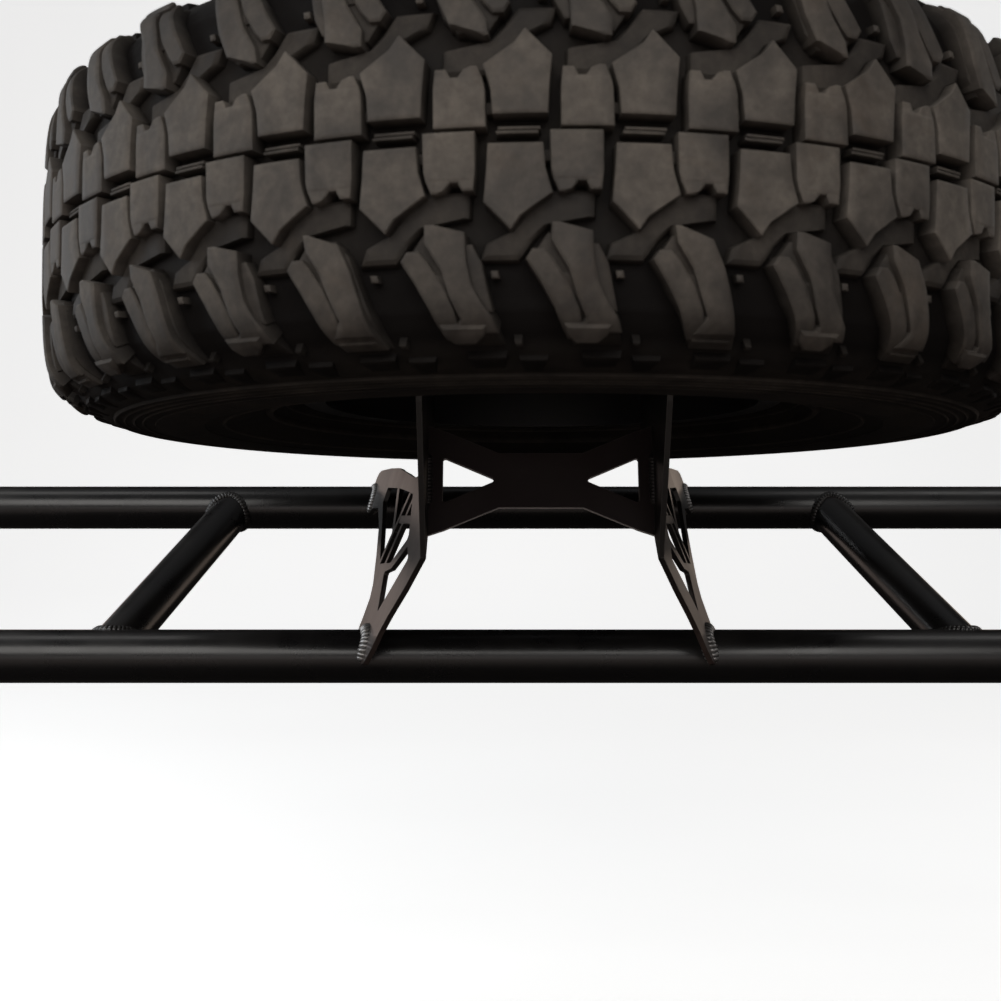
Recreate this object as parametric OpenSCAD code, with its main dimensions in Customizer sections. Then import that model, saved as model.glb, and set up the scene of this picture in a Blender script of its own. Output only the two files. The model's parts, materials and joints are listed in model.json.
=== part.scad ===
// Bolt-on spare wheel carrier for the back of a small off-road vehicle:
// a two-crossbar tube rack, a folded plate bracket and the spare wheel lying flat on it.
// Origin: middle of the lower crossbar axis. X right, Y towards the vehicle, Z up. Millimetres.

/* [Tube rack] */
// outer diameter of the two crossbars
bar_d = 50.8; // [50:0.1:51.5]
// wall thickness of every tube
tube_wall = 3; // [2:0.5:4]
// overall length of the two crossbars
bar_len = 1300; // [1200:10:1500]
// how far the upper crossbar sits in front of the lower one
bar_dy = 286; // [280:1:292]
// how far the upper crossbar sits above the lower one
bar_dz = 150; // [146:1:154]
// outer diameter of the two fore-and-aft braces
brace_d = 44.5; // [38:0.5:46]
// half distance between the braces at the lower crossbar
brace_x_low = 412; // [380:1:440]
// half distance between the braces at the upper crossbar
brace_x_up = 353; // [340:1:380]
// size of the weld beads
bead = 5; // [3:0.5:6]

/* [Bracket] */
// thickness of the side plates and the cross plate
plate_t = 4.8; // [4:0.2:6]
// half distance between the two upright panels
upright_x = 100; // [98:1:104]
// thickness of the wheel mounting plate
hub_t = 6.4; // [5:0.2:8]
// angle the cross plate leans towards the vehicle
cross_lean = 12; // [0:1:15]
// width of the slanted struts in the side plate window
strut_w = 8; // [6:0.5:10]

/* [Wheel fixing] */
// diameter of the circle through the wheel studs
stud_pcd = 137; // [135:1:139]
// diameter of each wheel stud
stud_d = 12; // [11:0.5:12.5]
// diameter of the wheel centre bore
bore_d = 110; // [106:1:112]
// distance across the flats of each lug nut
nut_af = 19; // [17:0.5:21]

/* [Wheel and tyre] */
// outer diameter of the tyre
tyre_d = 812.8; // [790:0.1:830]
// section width of the tyre
tyre_w = 254; // [244:1:264]
// distance of the tyre centre behind the lower crossbar
tyre_back = 105.5; // [104:0.5:107]
// distance of the tyre centre above the lower crossbar
tyre_up = 329; // [327:0.5:331]
// height of the wheel mounting face above the tyre centre
face_up = 38; // [38:0.1:39]

/* [Hidden] */
$fn = 96;
bar_r = bar_d / 2;
brace_r = brace_d / 2;
stud_r = stud_d / 2;
bore_r = bore_d / 2;

// Crossbar axes as [Y, Z].
low_bar = [0, 0];
up_bar = [bar_dy, bar_dz];

// Heights above the tyre centre.
hub_bot = face_up - hub_t;
pad_top = face_up + 14; // top of the disc pad under the washers
washer_t = 2.5;
nut_h = 20;
stud_top = pad_top + washer_t + nut_h + 4; // where the stud's end chamfer starts

C_POWDER = [0.07, 0.07, 0.075];
C_WELD = [0.34, 0.33, 0.32];
C_ZINC = [0.68, 0.69, 0.7];
C_RUBBER = [0.1, 0.095, 0.09];
C_ALLOY = [0.12, 0.12, 0.125];

// ---------- shared helpers ----------
module at_tyre() { translate([0, -tyre_back, tyre_up]) children(); }
module both_sides() { for (side = [0, 1]) mirror([side, 0, 0]) children(); }

// Studs 1 to 4 run anticlockwise from the front right.
module on_stud_circle(i) { rotate(90 * i - 45) translate([stud_pcd / 2, 0, 0]) children(); }
module at_stud(i) { at_tyre() on_stud_circle(i) children(); }

// Rounds the convex corners of a 2D shape.
module rounded(radius, facets = 32) {
    offset(r = radius, $fn = facets) offset(delta = -radius) children();
}

// Coaxial cylinders and cones; each row is [base height, bottom radius, top radius, height].
module stack(rows) {
    for (row = rows) translate([0, 0, row[0]]) cylinder(r1 = row[1], r2 = row[2], h = row[3]);
}

// Points in reverse order with the second coordinate negated, to close a symmetric outline.
function flipped(points) = [for (i = [len(points) - 1:-1:0]) [points[i][0], -points[i][1]]];

// Straight bead along Y in a square corner; x_dir and z_dir (1 or -1) say where it lies.
module corner_bead(x_dir, z_dir, length) {
    rotate([-90, 0, 0]) linear_extrude(length) polygon([[0, 0], [x_dir * bead, 0],
        [x_dir * bead * 0.35, -z_dir * bead * 0.65], [0, -z_dir * bead]]);
}

// ---------- tube rack ----------
module bar_solid(axis, r, length = bar_len) {
    translate([0, axis[0], axis[1]]) rotate([0, 90, 0]) cylinder(r = r, h = length, center = true);
}
module crossbar(axis) {
    difference() {
        bar_solid(axis, bar_r);
        bar_solid(axis, bar_r - tube_wall, bar_len + 2);
    }
}
module lower_crossbar() { color(C_POWDER) crossbar(low_bar); }
module upper_crossbar() { color(C_POWDER) crossbar(up_bar); }

brace_run = [brace_x_up - brace_x_low, bar_dy, bar_dz];
brace_len = norm(brace_run);
brace_tilt = acos(brace_run[2] / brace_len);
brace_turn = atan2(brace_run[1], brace_run[0]);

// The right-hand brace; the left one is its mirror image.
module brace_solid(r) {
    translate([brace_x_low, 0, 0]) rotate([0, brace_tilt, brace_turn])
        cylinder(r = r, h = brace_len);
}
module brace() {
    difference() {
        brace_solid(brace_r);
        brace_solid(brace_r - tube_wall);
        bar_solid(low_bar, bar_r);
        bar_solid(up_bar, bar_r);
    }
}
module brace_left() { color(C_POWDER) mirror([1, 0, 0]) brace(); }
module brace_right() { color(C_POWDER) brace(); }

// A bead fills the corner where a coped brace lands on a crossbar.
module brace_bead(axis) {
    difference() {
        intersection() {
            brace_solid(brace_r + bead);
            bar_solid(axis, bar_r + bead);
        }
        brace_solid(brace_r);
        bar_solid(axis, bar_r);
    }
}
module brace_welds_lower() { color(C_WELD) both_sides() brace_bead(low_bar); }
module brace_welds_upper() { color(C_WELD) both_sides() brace_bead(up_bar); }

// ---------- side plates ----------
// Each is an upright panel folded to a splayed lower panel. The right-hand one is modelled.
// The fold rises towards the vehicle at fold_rise; its ends are [Y, Z] from the tyre centre.
fold_rise = 37.2;
splay = 23.4;
fold_low = [-32, -234];
fold_high = [91, -140.6];
// Both panels overrun the fold by this much, so that their faces meet.
fold_lap = plate_t / 2 * tan(splay / 2);

// Lower panel axes: along the fold, down across the panel, and the outward normal.
panel_along = [0, cos(fold_rise), sin(fold_rise)];
panel_down = [sin(splay), sin(fold_rise) * cos(splay), -cos(fold_rise) * cos(splay)];
panel_out = [cos(splay), -sin(fold_rise) * sin(splay), cos(fold_rise) * sin(splay)];

// Flat patterns of the lower panel: [along the fold, down across the panel].
panel_edge = [
    [0, -fold_lap], [0, 0], [4, 41], [13, 81], [16, 107], [14, 127], [16, 147], [22, 155],
    [34, 162], [52, 174], [80, 192], [96, 194], [106, 186], [111, 174], [121, 158], [137, 153],
    [188, 156], [247, 163], [300, 178], [336, 206], [352, 232], [372, 236], [396, 215],
    [401, 208], [400, 200], [391, 189], [330, 141], [278, 103], [262, 94], [228, 73], [196, 54],
    [172, 38], [160, 26], [155, 12], [154, 0], [154, -fold_lap]];
large_window_edge = [
    [80, 43], [150, 43], [172, 57], [232, 97], [298, 146],
    [289, 160], [235, 150], [186, 143], [150, 136], [105, 96]];
small_window_edge = [[42, 37], [67, 43], [91, 92], [113, 115], [60, 121]];
// Centre line ends of the struts across the large window: [start, end].
strut_lines = [
    [[166, 50], [154, 138]], [[140, 38], [126, 116]],
    [[102, 38], [150, 76]], [[160, 100], [250, 100]]];
strut_overrun = 6;

module strut(start, end) {
    run = end - start;
    translate(start) rotate(atan2(run[1], run[0])) translate([-strut_overrun, -strut_w / 2])
        square([norm(run) + 2 * strut_overrun, strut_w]);
}
module large_window() {
    difference() {
        rounded(4) polygon(large_window_edge);
        for (line = strut_lines) strut(line[0], line[1]);
    }
}
module panel_outline() {
    difference() {
        polygon(panel_edge);
        large_window();
        rounded(2.5) polygon(small_window_edge);
    }
}
// Extrudes a flat pattern in the plane of the lower panel.
module panel_slab(thickness) {
    at_tyre() multmatrix([
        [panel_along[0], panel_down[0], panel_out[0], upright_x],
        [panel_along[1], panel_down[1], panel_out[1], fold_low[0]],
        [panel_along[2], panel_down[2], panel_out[2], fold_low[1]],
        [0, 0, 0, 1]]) linear_extrude(thickness, center = true) children();
}
// Upright panel: polygon x is Y and polygon y is Z, both from the tyre centre.
module upright_outline() {
    lap = fold_lap * [sin(fold_rise), -cos(fold_rise)];
    difference() {
        polygon([fold_low, fold_low + lap, fold_high + lap, fold_high,
            [91, -60], [91, hub_bot], [-91, hub_bot], [-91, -96], [-88, -108]]);
        rounded(8) polygon([[-58, -76], [60, -76], [60, -8], [-58, -8]]);
    }
}
module side_plate() {
    difference() {
        union() {
            at_tyre() translate([upright_x, 0, 0]) rotate([90, 0, 90])
                linear_extrude(plate_t, center = true) upright_outline();
            panel_slab(plate_t) panel_outline();
        }
        bar_solid(low_bar, bar_r);
        bar_solid(up_bar, bar_r);
    }
}
module side_plate_left() { color(C_POWDER) mirror([1, 0, 0]) side_plate(); }
module side_plate_right() { color(C_POWDER) side_plate(); }

// Beads along both faces of a lower panel where it is coped onto a crossbar,
// kept to a rectangle of the flat pattern given by its corner and size.
module plate_bead(axis, corner, size) {
    margin = [5, 5];
    difference() {
        intersection() {
            bar_solid(axis, bar_r + bead);
            panel_slab(plate_t + 2 * bead) translate(corner) square(size);
        }
        panel_slab(plate_t) translate(corner - margin) square(size + 2 * margin);
        bar_solid(axis, bar_r);
    }
}
module foot_welds() { color(C_WELD) both_sides() plate_bead(low_bar, [20, 140], [58, 32]); }
module saddle_welds() { color(C_WELD) both_sides() plate_bead(up_bar, [338, 190], [54, 36]); }

// ---------- cross plate ----------
cross_z = -167; // plate centre, from the tyre centre
cross_x = upright_x - plate_t / 2 - 0.05; // half length, just clear of the uprights
cross_weld_len = 46;
// Upper edge as [X, up the plate]; the lower edge is its mirror image.
cross_edge = [
    [cross_x, 49], [84, 44.5], [36.5, 24.5], [-36.5, 24.5], [-84, 44.5], [-cross_x, 49]];

module in_cross() {
    at_tyre() translate([0, 0, cross_z]) rotate([90 - cross_lean, 0, 0]) children();
}
module cross_outline() {
    difference() {
        polygon(concat(cross_edge, flipped(cross_edge)));
        both_sides() rounded(2) polygon([[38, 0], [85, 20.5], [85, -20.5]]);
    }
}
module cross_plate() {
    color(C_POWDER) in_cross() linear_extrude(plate_t, center = true) cross_outline();
}
module cross_welds() {
    color(C_WELD) both_sides() for (face = [1, -1])
        in_cross() translate([cross_x, -cross_weld_len / 2, face * plate_t / 2])
            corner_bead(-1, face, cross_weld_len);
}

// ---------- wheel mounting plate ----------
hub_edge = [
    [-108, -60], [-75, -96], [75, -96], [108, -60],
    [108, 60], [75, 96], [-75, 96], [-108, 60]];
hub_hole_r = 38;
hub_weld_len = 116;

module hub_outline() {
    difference() {
        rounded(12, facets = 48) polygon(hub_edge);
        circle(r = hub_hole_r);
        for (i = [1:4]) on_stud_circle(i) circle(r = stud_r);
    }
}
module hub_plate() {
    color(C_POWDER) at_tyre() translate([0, 0, hub_bot]) linear_extrude(hub_t) hub_outline();
}
module hub_welds() {
    color(C_WELD) at_tyre() both_sides() for (face = [-1, 1])
        translate([upright_x + face * plate_t / 2, -hub_weld_len / 2, hub_bot])
            corner_bead(face, -1, hub_weld_len);
}
// Chamfered ring that fits the wheel's centre bore.
module hub_pilot() {
    pilot_r = bore_r - 0.1;
    color(C_POWDER) at_tyre() translate([0, 0, face_up]) difference() {
        stack([[0, pilot_r, pilot_r, 9], [9, pilot_r, bore_r - 2, 2]]);
        translate([0, 0, -1]) cylinder(r = bore_r - 6, h = 14);
    }
}
// Round head under the plate, shank and chamfered end.
module stud(i) {
    head_h = 5;
    color(C_ZINC) at_stud(i) stack([
        [hub_bot - head_h, 9, 9, head_h],
        [hub_bot - 1, stud_r, stud_r, stud_top - hub_bot + 1],
        [stud_top, stud_r, stud_r - 1.5, 2]]);
}
module wheel_stud_1() { stud(1); }
module wheel_stud_2() { stud(2); }
module wheel_stud_3() { stud(3); }
module wheel_stud_4() { stud(4); }

// ---------- spare wheel ----------
// Wheel and tyre profiles are [radius, height above the tyre centre].
flange_z = 101.5;
seat_z = 88.9;
// Upper flange and bead seat; the lower one is its mirror image.
flange_edge = [
    [185.5, flange_z], [204, flange_z], [208.5, flange_z - 3], [208.5, flange_z - 9],
    [203, flange_z - 12.5], [194, seat_z], [190.5, seat_z - 4]];
well_outside = [[190.5, 62], [172, 40], [172, -20], [190.5, -60]];
well_inside = [[185.5, -62], [167, -22], [167, 42], [185.5, 64]];
disc_edge = [
    [bore_r, face_up], [88, face_up], [96, face_up + 8], [130, 60], [166, 66], [185.4, 66],
    [185.4, 86], [178, 86], [170, 81], [130, 76], [98, 62], [90, pad_top], [bore_r, pad_top]];
// One of the eight disc windows, as seen from above with the wheel axis at the origin.
disc_window_edge = [
    [104, -11], [112, -19], [158, -36], [166, -30], [169, 0],
    [166, 30], [158, 36], [112, 19], [104, 11]];
valve_circle_r = 177;
valve_angle = 67.5;
stem_r = 5.7;

module at_valve() { at_tyre() rotate(valve_angle) translate([valve_circle_r, 0, 0]) children(); }
module barrel_solid() {
    at_tyre() rotate_extrude()
        polygon(concat(flange_edge, well_outside, flipped(flange_edge), well_inside));
}
module rim_barrel() {
    color(C_ALLOY) difference() {
        barrel_solid();
        at_valve() cylinder(r = stem_r + 0.05, h = 90);
    }
}
module wheel_disc() {
    color(C_ALLOY) difference() {
        at_tyre() rotate_extrude() polygon(disc_edge);
        for (i = [1:4]) at_stud(i) cylinder(r = stud_r + 1, h = 100);
        at_tyre() for (k = [0:7]) rotate(45 * k) translate([0, 0, 30])
            linear_extrude(80) rounded(5) polygon(disc_window_edge);
        at_valve() cylinder(r = 8, h = 100);
    }
}
// Domed cap over the bore, hollow underneath.
module centre_cap() {
    color(C_ALLOY) at_tyre() translate([0, 0, pad_top]) difference() {
        stack([
            [0, bore_r + 1.5, bore_r + 1.5, 3],
            [3, bore_r + 0.5, bore_r - 8, 9],
            [12, bore_r - 8, bore_r - 14, 1.5]]);
        translate([0, 0, -1]) cylinder(r = bore_r - 11, h = 10);
    }
}
module valve_stem() {
    color(C_RUBBER) difference() {
        at_valve() stack([
            [26, 6, 8.5, 6],
            [32, 8.5, 8.5, 9],
            [40, stem_r, stem_r, 34],
            [74, stem_r, 4.2, 6],
            [80, 3.8, 3.8, 12]]);
        // The wide foot stops at the barrel; only the stem passes through.
        difference() {
            barrel_solid();
            at_valve() cylinder(r = stem_r, h = 120);
        }
        // Nothing above this height is wider than the stem.
        at_valve() translate([-30, -30, 50]) difference() {
            cube([60, 60, 100]);
            translate([30, 30, -1]) cylinder(r = stem_r, h = 110);
        }
    }
}
// Hollow cap with grip ribs.
module valve_cap() {
    color(C_RUBBER) at_valve() difference() {
        union() {
            stack([[81, 5, 5, 12], [93, 5, 3.5, 1.5]]);
            for (a = [0:30:330])
                rotate(a) translate([4.9, 0, 82]) cylinder(r = 0.7, h = 9, $fn = 16);
        }
        translate([0, 0, 80]) cylinder(r = 3.85, h = 12.5);
    }
}
// Two short arcs inside the lower part of the barrel.
module balance_weights() {
    arc = 10;
    color(C_ZINC) for (middle = [-52, -40])
        at_tyre() rotate(middle - arc / 2) rotate_extrude(angle = arc)
            polygon([[178.5, -68], [185.3, -68], [185.3, -100], [178.5, -96]]);
}

// Tyre: a carcass open towards the rim. The upper half section runs from the tread over
// the sidewall to the bead and back inside; the lower half is its mirror image.
tyre_r = tyre_d / 2;
half_w = tyre_w / 2;
tyre_half = [
    [tyre_r - 0.5, 50], [tyre_r - 2, 88], [tyre_r - 6, half_w - 24], [392, half_w - 18],
    [380, half_w - 12], [358, half_w - 6], [330, half_w - 1], [300, half_w], [270, half_w - 2],
    [240, 116], [222, 106], [212, 98], [209.2, 92.3], [203.2, 88.75], [194.3, 88.75],
    [190.6, 84.5], [190.6, 72], [204, 72], [222, 94], [250, 112], [300, half_w - 9],
    [346, half_w - 13], [370, half_w - 25], [382, half_w - 50], [385, 50]];
tread_inner_r = 386;

module tyre() {
    color(C_RUBBER) at_tyre() rotate_extrude()
        polygon(concat([[tyre_r, 0]], tyre_half, [[tread_inner_r, 0]], flipped(tyre_half)));
}

// ---------- lug nuts and washers ----------
module washer(i) {
    color(C_ZINC) at_stud(i) translate([0, 0, pad_top]) difference() {
        cylinder(r = 11.5, h = washer_t);
        translate([0, 0, -1]) cylinder(r = stud_r + 0.5, h = washer_t + 2);
    }
}
// Hexagon with both ends chamfered.
module nut(i) {
    flat_r = nut_af / 2;
    outer_r = flat_r + 2.3;
    chamfer_h = 2;
    color(C_ZINC) at_stud(i) translate([0, 0, pad_top + washer_t]) difference() {
        intersection() {
            cylinder(r = nut_af / sqrt(3), h = nut_h, $fn = 6);
            stack([
                [0, flat_r + 0.3, outer_r, chamfer_h],
                [chamfer_h, outer_r, outer_r, nut_h - 2 * chamfer_h],
                [nut_h - chamfer_h, outer_r, flat_r - 0.2, chamfer_h]]);
        }
        translate([0, 0, -1]) cylinder(r = stud_r + 0.05, h = nut_h + 2);
    }
}
module lug_washer_1() { washer(1); }
module lug_washer_2() { washer(2); }
module lug_washer_3() { washer(3); }
module lug_washer_4() { washer(4); }
module lug_nut_1() { nut(1); }
module lug_nut_2() { nut(2); }
module lug_nut_3() { nut(3); }
module lug_nut_4() { nut(4); }

lower_crossbar();
upper_crossbar();
brace_left();
brace_right();
brace_welds_lower();
brace_welds_upper();
side_plate_left();
side_plate_right();
foot_welds();
saddle_welds();
cross_plate();
cross_welds();
hub_plate();
hub_welds();
hub_pilot();
wheel_stud_1();
wheel_stud_2();
wheel_stud_3();
wheel_stud_4();
rim_barrel();
wheel_disc();
centre_cap();
valve_stem();
valve_cap();
balance_weights();
tyre();
lug_washer_1();
lug_washer_2();
lug_washer_3();
lug_washer_4();
lug_nut_1();
lug_nut_2();
lug_nut_3();
lug_nut_4();
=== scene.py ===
"""Spare wheel carrier with its wheel, on a pale studio sweep.

X runs along the two crossbars, Y away from the camera and Z up. The lower crossbar is centred on
the origin, the upper one lies behind and above it, and two side plates join them. The tyre lies
flat, its axis along Z. The CAD pieces get procedural materials; weld beads and tyre are built here.
"""
import math, json
import bmesh
import bpy
import numpy as np
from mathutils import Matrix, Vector


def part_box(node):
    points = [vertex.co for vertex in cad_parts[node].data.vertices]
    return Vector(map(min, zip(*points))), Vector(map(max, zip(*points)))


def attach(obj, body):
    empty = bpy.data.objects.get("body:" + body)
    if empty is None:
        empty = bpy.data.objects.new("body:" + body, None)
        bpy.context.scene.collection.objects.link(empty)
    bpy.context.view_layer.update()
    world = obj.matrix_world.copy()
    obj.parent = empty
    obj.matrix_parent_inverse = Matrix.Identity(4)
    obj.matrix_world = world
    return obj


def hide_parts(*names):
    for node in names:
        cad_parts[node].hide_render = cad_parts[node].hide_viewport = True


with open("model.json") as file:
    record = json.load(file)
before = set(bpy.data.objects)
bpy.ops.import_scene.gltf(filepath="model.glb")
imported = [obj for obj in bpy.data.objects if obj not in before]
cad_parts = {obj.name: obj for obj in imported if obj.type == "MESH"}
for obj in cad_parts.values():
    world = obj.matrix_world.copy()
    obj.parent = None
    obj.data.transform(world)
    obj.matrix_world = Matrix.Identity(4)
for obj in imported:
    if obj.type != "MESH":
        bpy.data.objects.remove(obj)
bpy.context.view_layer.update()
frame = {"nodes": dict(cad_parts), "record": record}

# ------------------------------------------------------------------ dimensions
# Millimetres in the frame of the CAD part, unless a name or comment says otherwise.
MILLI = 0.001                                  # metres in a millimetre
BOTH = (-1, 1)

tyre_low, tyre_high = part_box("tyre")
TYRE_CENTRE_M = np.array((tyre_low + tyre_high) / 2, float) if False else np.array(
    [(low + high) / 2 for low, high in zip(tyre_low, tyre_high)])    # metres
TYRE_CENTRE = TYRE_CENTRE_M / MILLI
TYRE_RADIUS = (tyre_high.x - tyre_low.x) / 2 / MILLI

BAR_RADIUS = 25.4
LOWER_BAR = np.zeros(3)
UPPER_BAR = np.array([0.0, 286.0, 150.0])
BRACE_RADIUS = 22.25
BRACE_LOWER_X, BRACE_UPPER_X = 412.0, 353.0    # where the braces meet the two crossbars
PLATE_THICKNESS = 4.8
UPRIGHT_X = 100.0
HUB_BOTTOM = 31.6                              # hub plate underside, above the tyre centre
HUB_HALF_SEAM = 58

# The sloping panel of the side plate at +X: a point on its fold and three unit directions
PANEL_RISE, PANEL_SPLAY = math.radians(37.2), math.radians(23.4)
FOLD = np.array([UPRIGHT_X, -32.0, -234.0]) + TYRE_CENTRE
ALONG_FOLD = np.array([0, math.cos(PANEL_RISE), math.sin(PANEL_RISE)])
OFF_FOLD = np.array([math.sin(PANEL_SPLAY), math.sin(PANEL_RISE) * math.cos(PANEL_SPLAY),
                     -math.cos(PANEL_RISE) * math.cos(PANEL_SPLAY)])
PANEL_NORMAL = np.array([math.cos(PANEL_SPLAY), -math.sin(PANEL_RISE) * math.sin(PANEL_SPLAY),
                         math.cos(PANEL_RISE) * math.sin(PANEL_SPLAY)])
# Panel outline: distance along the fold, distance off it
PANEL = [
    (0, 0), (4, 41), (13, 81), (16, 107), (14, 127), (16, 147), (22, 155), (34, 162), (52, 174),
    (80, 192), (96, 194), (106, 186), (111, 174), (121, 158), (137, 153), (188, 156), (247, 163),
    (300, 178), (336, 206), (352, 232), (372, 236), (396, 215), (401, 208), (400, 200), (391, 189),
    (330, 141), (278, 103), (262, 94), (228, 73), (196, 54), (172, 38), (160, 26), (155, 12),
    (154, 0)]

# The cross plate between the uprights, 12 degrees off vertical
CROSS_SLOPE = math.radians(90 - 12)
CROSS_CENTRE = TYRE_CENTRE + np.array([0, 0, -167.0])
CROSS_UP = np.array([0, math.cos(CROSS_SLOPE), math.sin(CROSS_SLOPE)])
CROSS_NORMAL = np.array([0, -math.sin(CROSS_SLOPE), math.cos(CROSS_SLOPE)])
CROSS_HALF_SEAM = 23


# ------------------------------------------------------------------ mesh helpers
def add_point_values(mesh, name, values):
    attribute = mesh.attributes.new(name, "FLOAT", "POINT")
    attribute.data.foreach_set("value", np.asarray(values, np.float32))


def add_mesh(name, verts, faces, material, body, values, replaces):
    """A smooth object riding on body. values is an attribute's name and its value per vertex."""
    mesh = bpy.data.meshes.new(name)
    mesh.from_pydata([tuple(v) for v in verts], [], faces)
    mesh.validate()
    mesh.update()
    add_point_values(mesh, *values)
    mesh.polygons.foreach_set("use_smooth", [True] * len(mesh.polygons))
    thing = bpy.data.objects.new(name, mesh)
    bpy.context.scene.collection.objects.link(thing)
    mesh.materials.append(material)
    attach(thing, body)
    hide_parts(replaces)
    return thing


# ------------------------------------------------------------------ material helper
class Shader:
    """A material being built round one Principled surface, in object coordinates."""

    def __init__(self, name):
        self.material = bpy.data.materials.new(name)
        self.material.use_nodes = True
        self.tree = self.material.node_tree
        self.tree.nodes.clear()
        self.output = self.node("OutputMaterial")
        self.surface = self.node("BsdfPrincipled")
        self.feed(self.output.inputs[0], self.surface.outputs[0])
        self.coords = self.node("TexCoord").outputs["Object"]

    def node(self, kind, **settings):
        node = self.tree.nodes.new("ShaderNode" + kind)
        for key, value in settings.items():
            setattr(node, key, value)
        return node

    def feed(self, socket, value):
        """Link an output into a socket, or set the socket to a number or an RGB colour."""
        if isinstance(value, bpy.types.NodeSocket):
            self.tree.links.new(value, socket)
        else:
            socket.default_value = (*value, 1) if isinstance(value, tuple) else value

    def finish(self, inputs):
        """Feed the surface's named inputs and return the material."""
        for name, value in inputs.items():
            self.feed(self.surface.inputs[name], value)
        return self.material

    def noise(self, scale, detail=4.0, roughness=0.55, distortion=0.0):
        node = self.node("TexNoise")
        node.inputs["Scale"].default_value = scale
        node.inputs["Detail"].default_value = detail
        node.inputs["Roughness"].default_value = roughness
        node.inputs["Distortion"].default_value = distortion
        self.feed(node.inputs["Vector"], self.coords)
        return node.outputs["Fac"]

    def remap(self, value, source, target=(0.0, 1.0)):
        """Map the source range onto the target range."""
        node = self.node("MapRange")
        for i, limit in enumerate((*source, *target), 1):
            node.inputs[i].default_value = limit
        self.feed(node.inputs[0], value)
        return node.outputs[0]

    def mix(self, factor, under, over):
        node = self.node("Mix", data_type="RGBA")
        for i, value in ((0, factor), (6, under), (7, over)):
            self.feed(node.inputs[i], value)
        return node.outputs[2]

    def maths(self, operation, first, second, clamp=False):
        node = self.node("Math", operation=operation, use_clamp=clamp)
        self.feed(node.inputs[0], first)
        self.feed(node.inputs[1], second)
        return node.outputs[0]

    def axis(self, vector, index):
        node = self.node("SeparateXYZ")
        self.feed(node.inputs[0], vector)
        return node.outputs[index]

    def attribute(self, name):
        return self.node("Attribute", attribute_name=name).outputs["Fac"]

    def bump(self, height, strength, distance, normal=None):
        node = self.node("Bump")
        node.inputs["Strength"].default_value = strength
        node.inputs["Distance"].default_value = distance
        self.feed(node.inputs["Height"], height)
        if normal is not None:
            self.feed(node.inputs["Normal"], normal)
        return node.outputs[0]

    def rounded_normal(self, radius):
        node = self.node("Bevel")
        node.samples = 4
        node.inputs["Radius"].default_value = radius
        return node.outputs[0]

    def edge_mask(self, rounded):
        """How far the rounded normal turns from the true one: bright on edges."""
        dot = self.node("VectorMath", operation="DOT_PRODUCT")
        self.feed(dot.inputs[0], rounded)
        self.feed(dot.inputs[1], self.node("NewGeometry").outputs["True Normal"])
        return self.remap(dot.outputs["Value"], source=(0.99, 0.8))


# ------------------------------------------------------------------ materials
# light grey for edges: worn bare metal together with a painted edge highlight
WORN_EDGE_AND_HIGHLIGHT = (0.22, 0.215, 0.21)


def powder_material(name, base, dusty, roughness, edge_wear_and_highlight, dust_amount, painted_foot_light=None, painted_edge_line=None):
    """Powder coat with dust on upward faces, and edges lightened as worn coat and as a painted
    highlight.
    """
    shader = Shader(name)
    rounded = shader.rounded_normal(radius=0.0012)
    edges = shader.edge_mask(rounded)
    fine = shader.noise(scale=900, detail=2)
    broad = shader.noise(scale=9, detail=6, roughness=0.6, distortion=0.4)
    geometry = shader.node("NewGeometry")
    upward = shader.remap(shader.axis(geometry.outputs["Normal"], 2), source=(0.1, 1.0))
    patches = shader.remap(broad, source=(0.42, 0.68))
    film = shader.maths("MULTIPLY", shader.maths("MULTIPLY", upward, patches), dust_amount)
    specks = shader.remap(shader.noise(scale=260, detail=3, roughness=0.7),
                          source=(0.64, 0.72), target=(0.0, 0.35))
    specks = shader.maths("MULTIPLY", specks, dust_amount)
    dust = shader.maths("ADD", film, specks, clamp=True)
    colour = shader.mix(dust, base, dusty)
    # edges turn light grey: partly worn coat, partly painted highlight
    colour = shader.mix(shader.maths("MULTIPLY", edges, edge_wear_and_highlight), colour, WORN_EDGE_AND_HIGHLIGHT)
    if painted_foot_light:  # painted light: a lighter, warmer colour on the lower panel that thins out going up through the span, in metres
        height = shader.axis(shader.coords, 2)
        amount = shader.maths("MULTIPLY",
                              shader.remap(height, source=painted_foot_light["span"], target=(1.0, 0.0)),
                              shader.remap(broad, source=(0.3, 0.7), target=(0.6, 1.0)))
        colour = shader.mix(amount, colour, painted_foot_light["colour"])
    if painted_edge_line:  # painted highlight: faces turned one way, the cross plate's downward-facing edge faces, are painted near-white as a reflection line
        dot = shader.node("VectorMath", operation="DOT_PRODUCT")
        shader.feed(dot.inputs[0], geometry.outputs["True Normal"])
        dot.inputs[1].default_value = painted_edge_line["facing"]
        facing = shader.remap(dot.outputs["Value"], source=(0.6, 0.8))
        colour = shader.mix(facing, colour, painted_edge_line["colour"])
    coat = shader.remap(broad, source=(0.3, 0.7), target=(roughness - 0.06, roughness + 0.1))
    return shader.finish({
        "Base Color": colour,
        "Roughness": shader.maths("ADD", coat, shader.maths("MULTIPLY", dust, 0.3), clamp=True),
        "Coat Weight": 0.35,
        "Coat Roughness": 0.22,
        "Normal": shader.bump(fine, strength=0.09, distance=0.0004, normal=rounded)})


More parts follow.
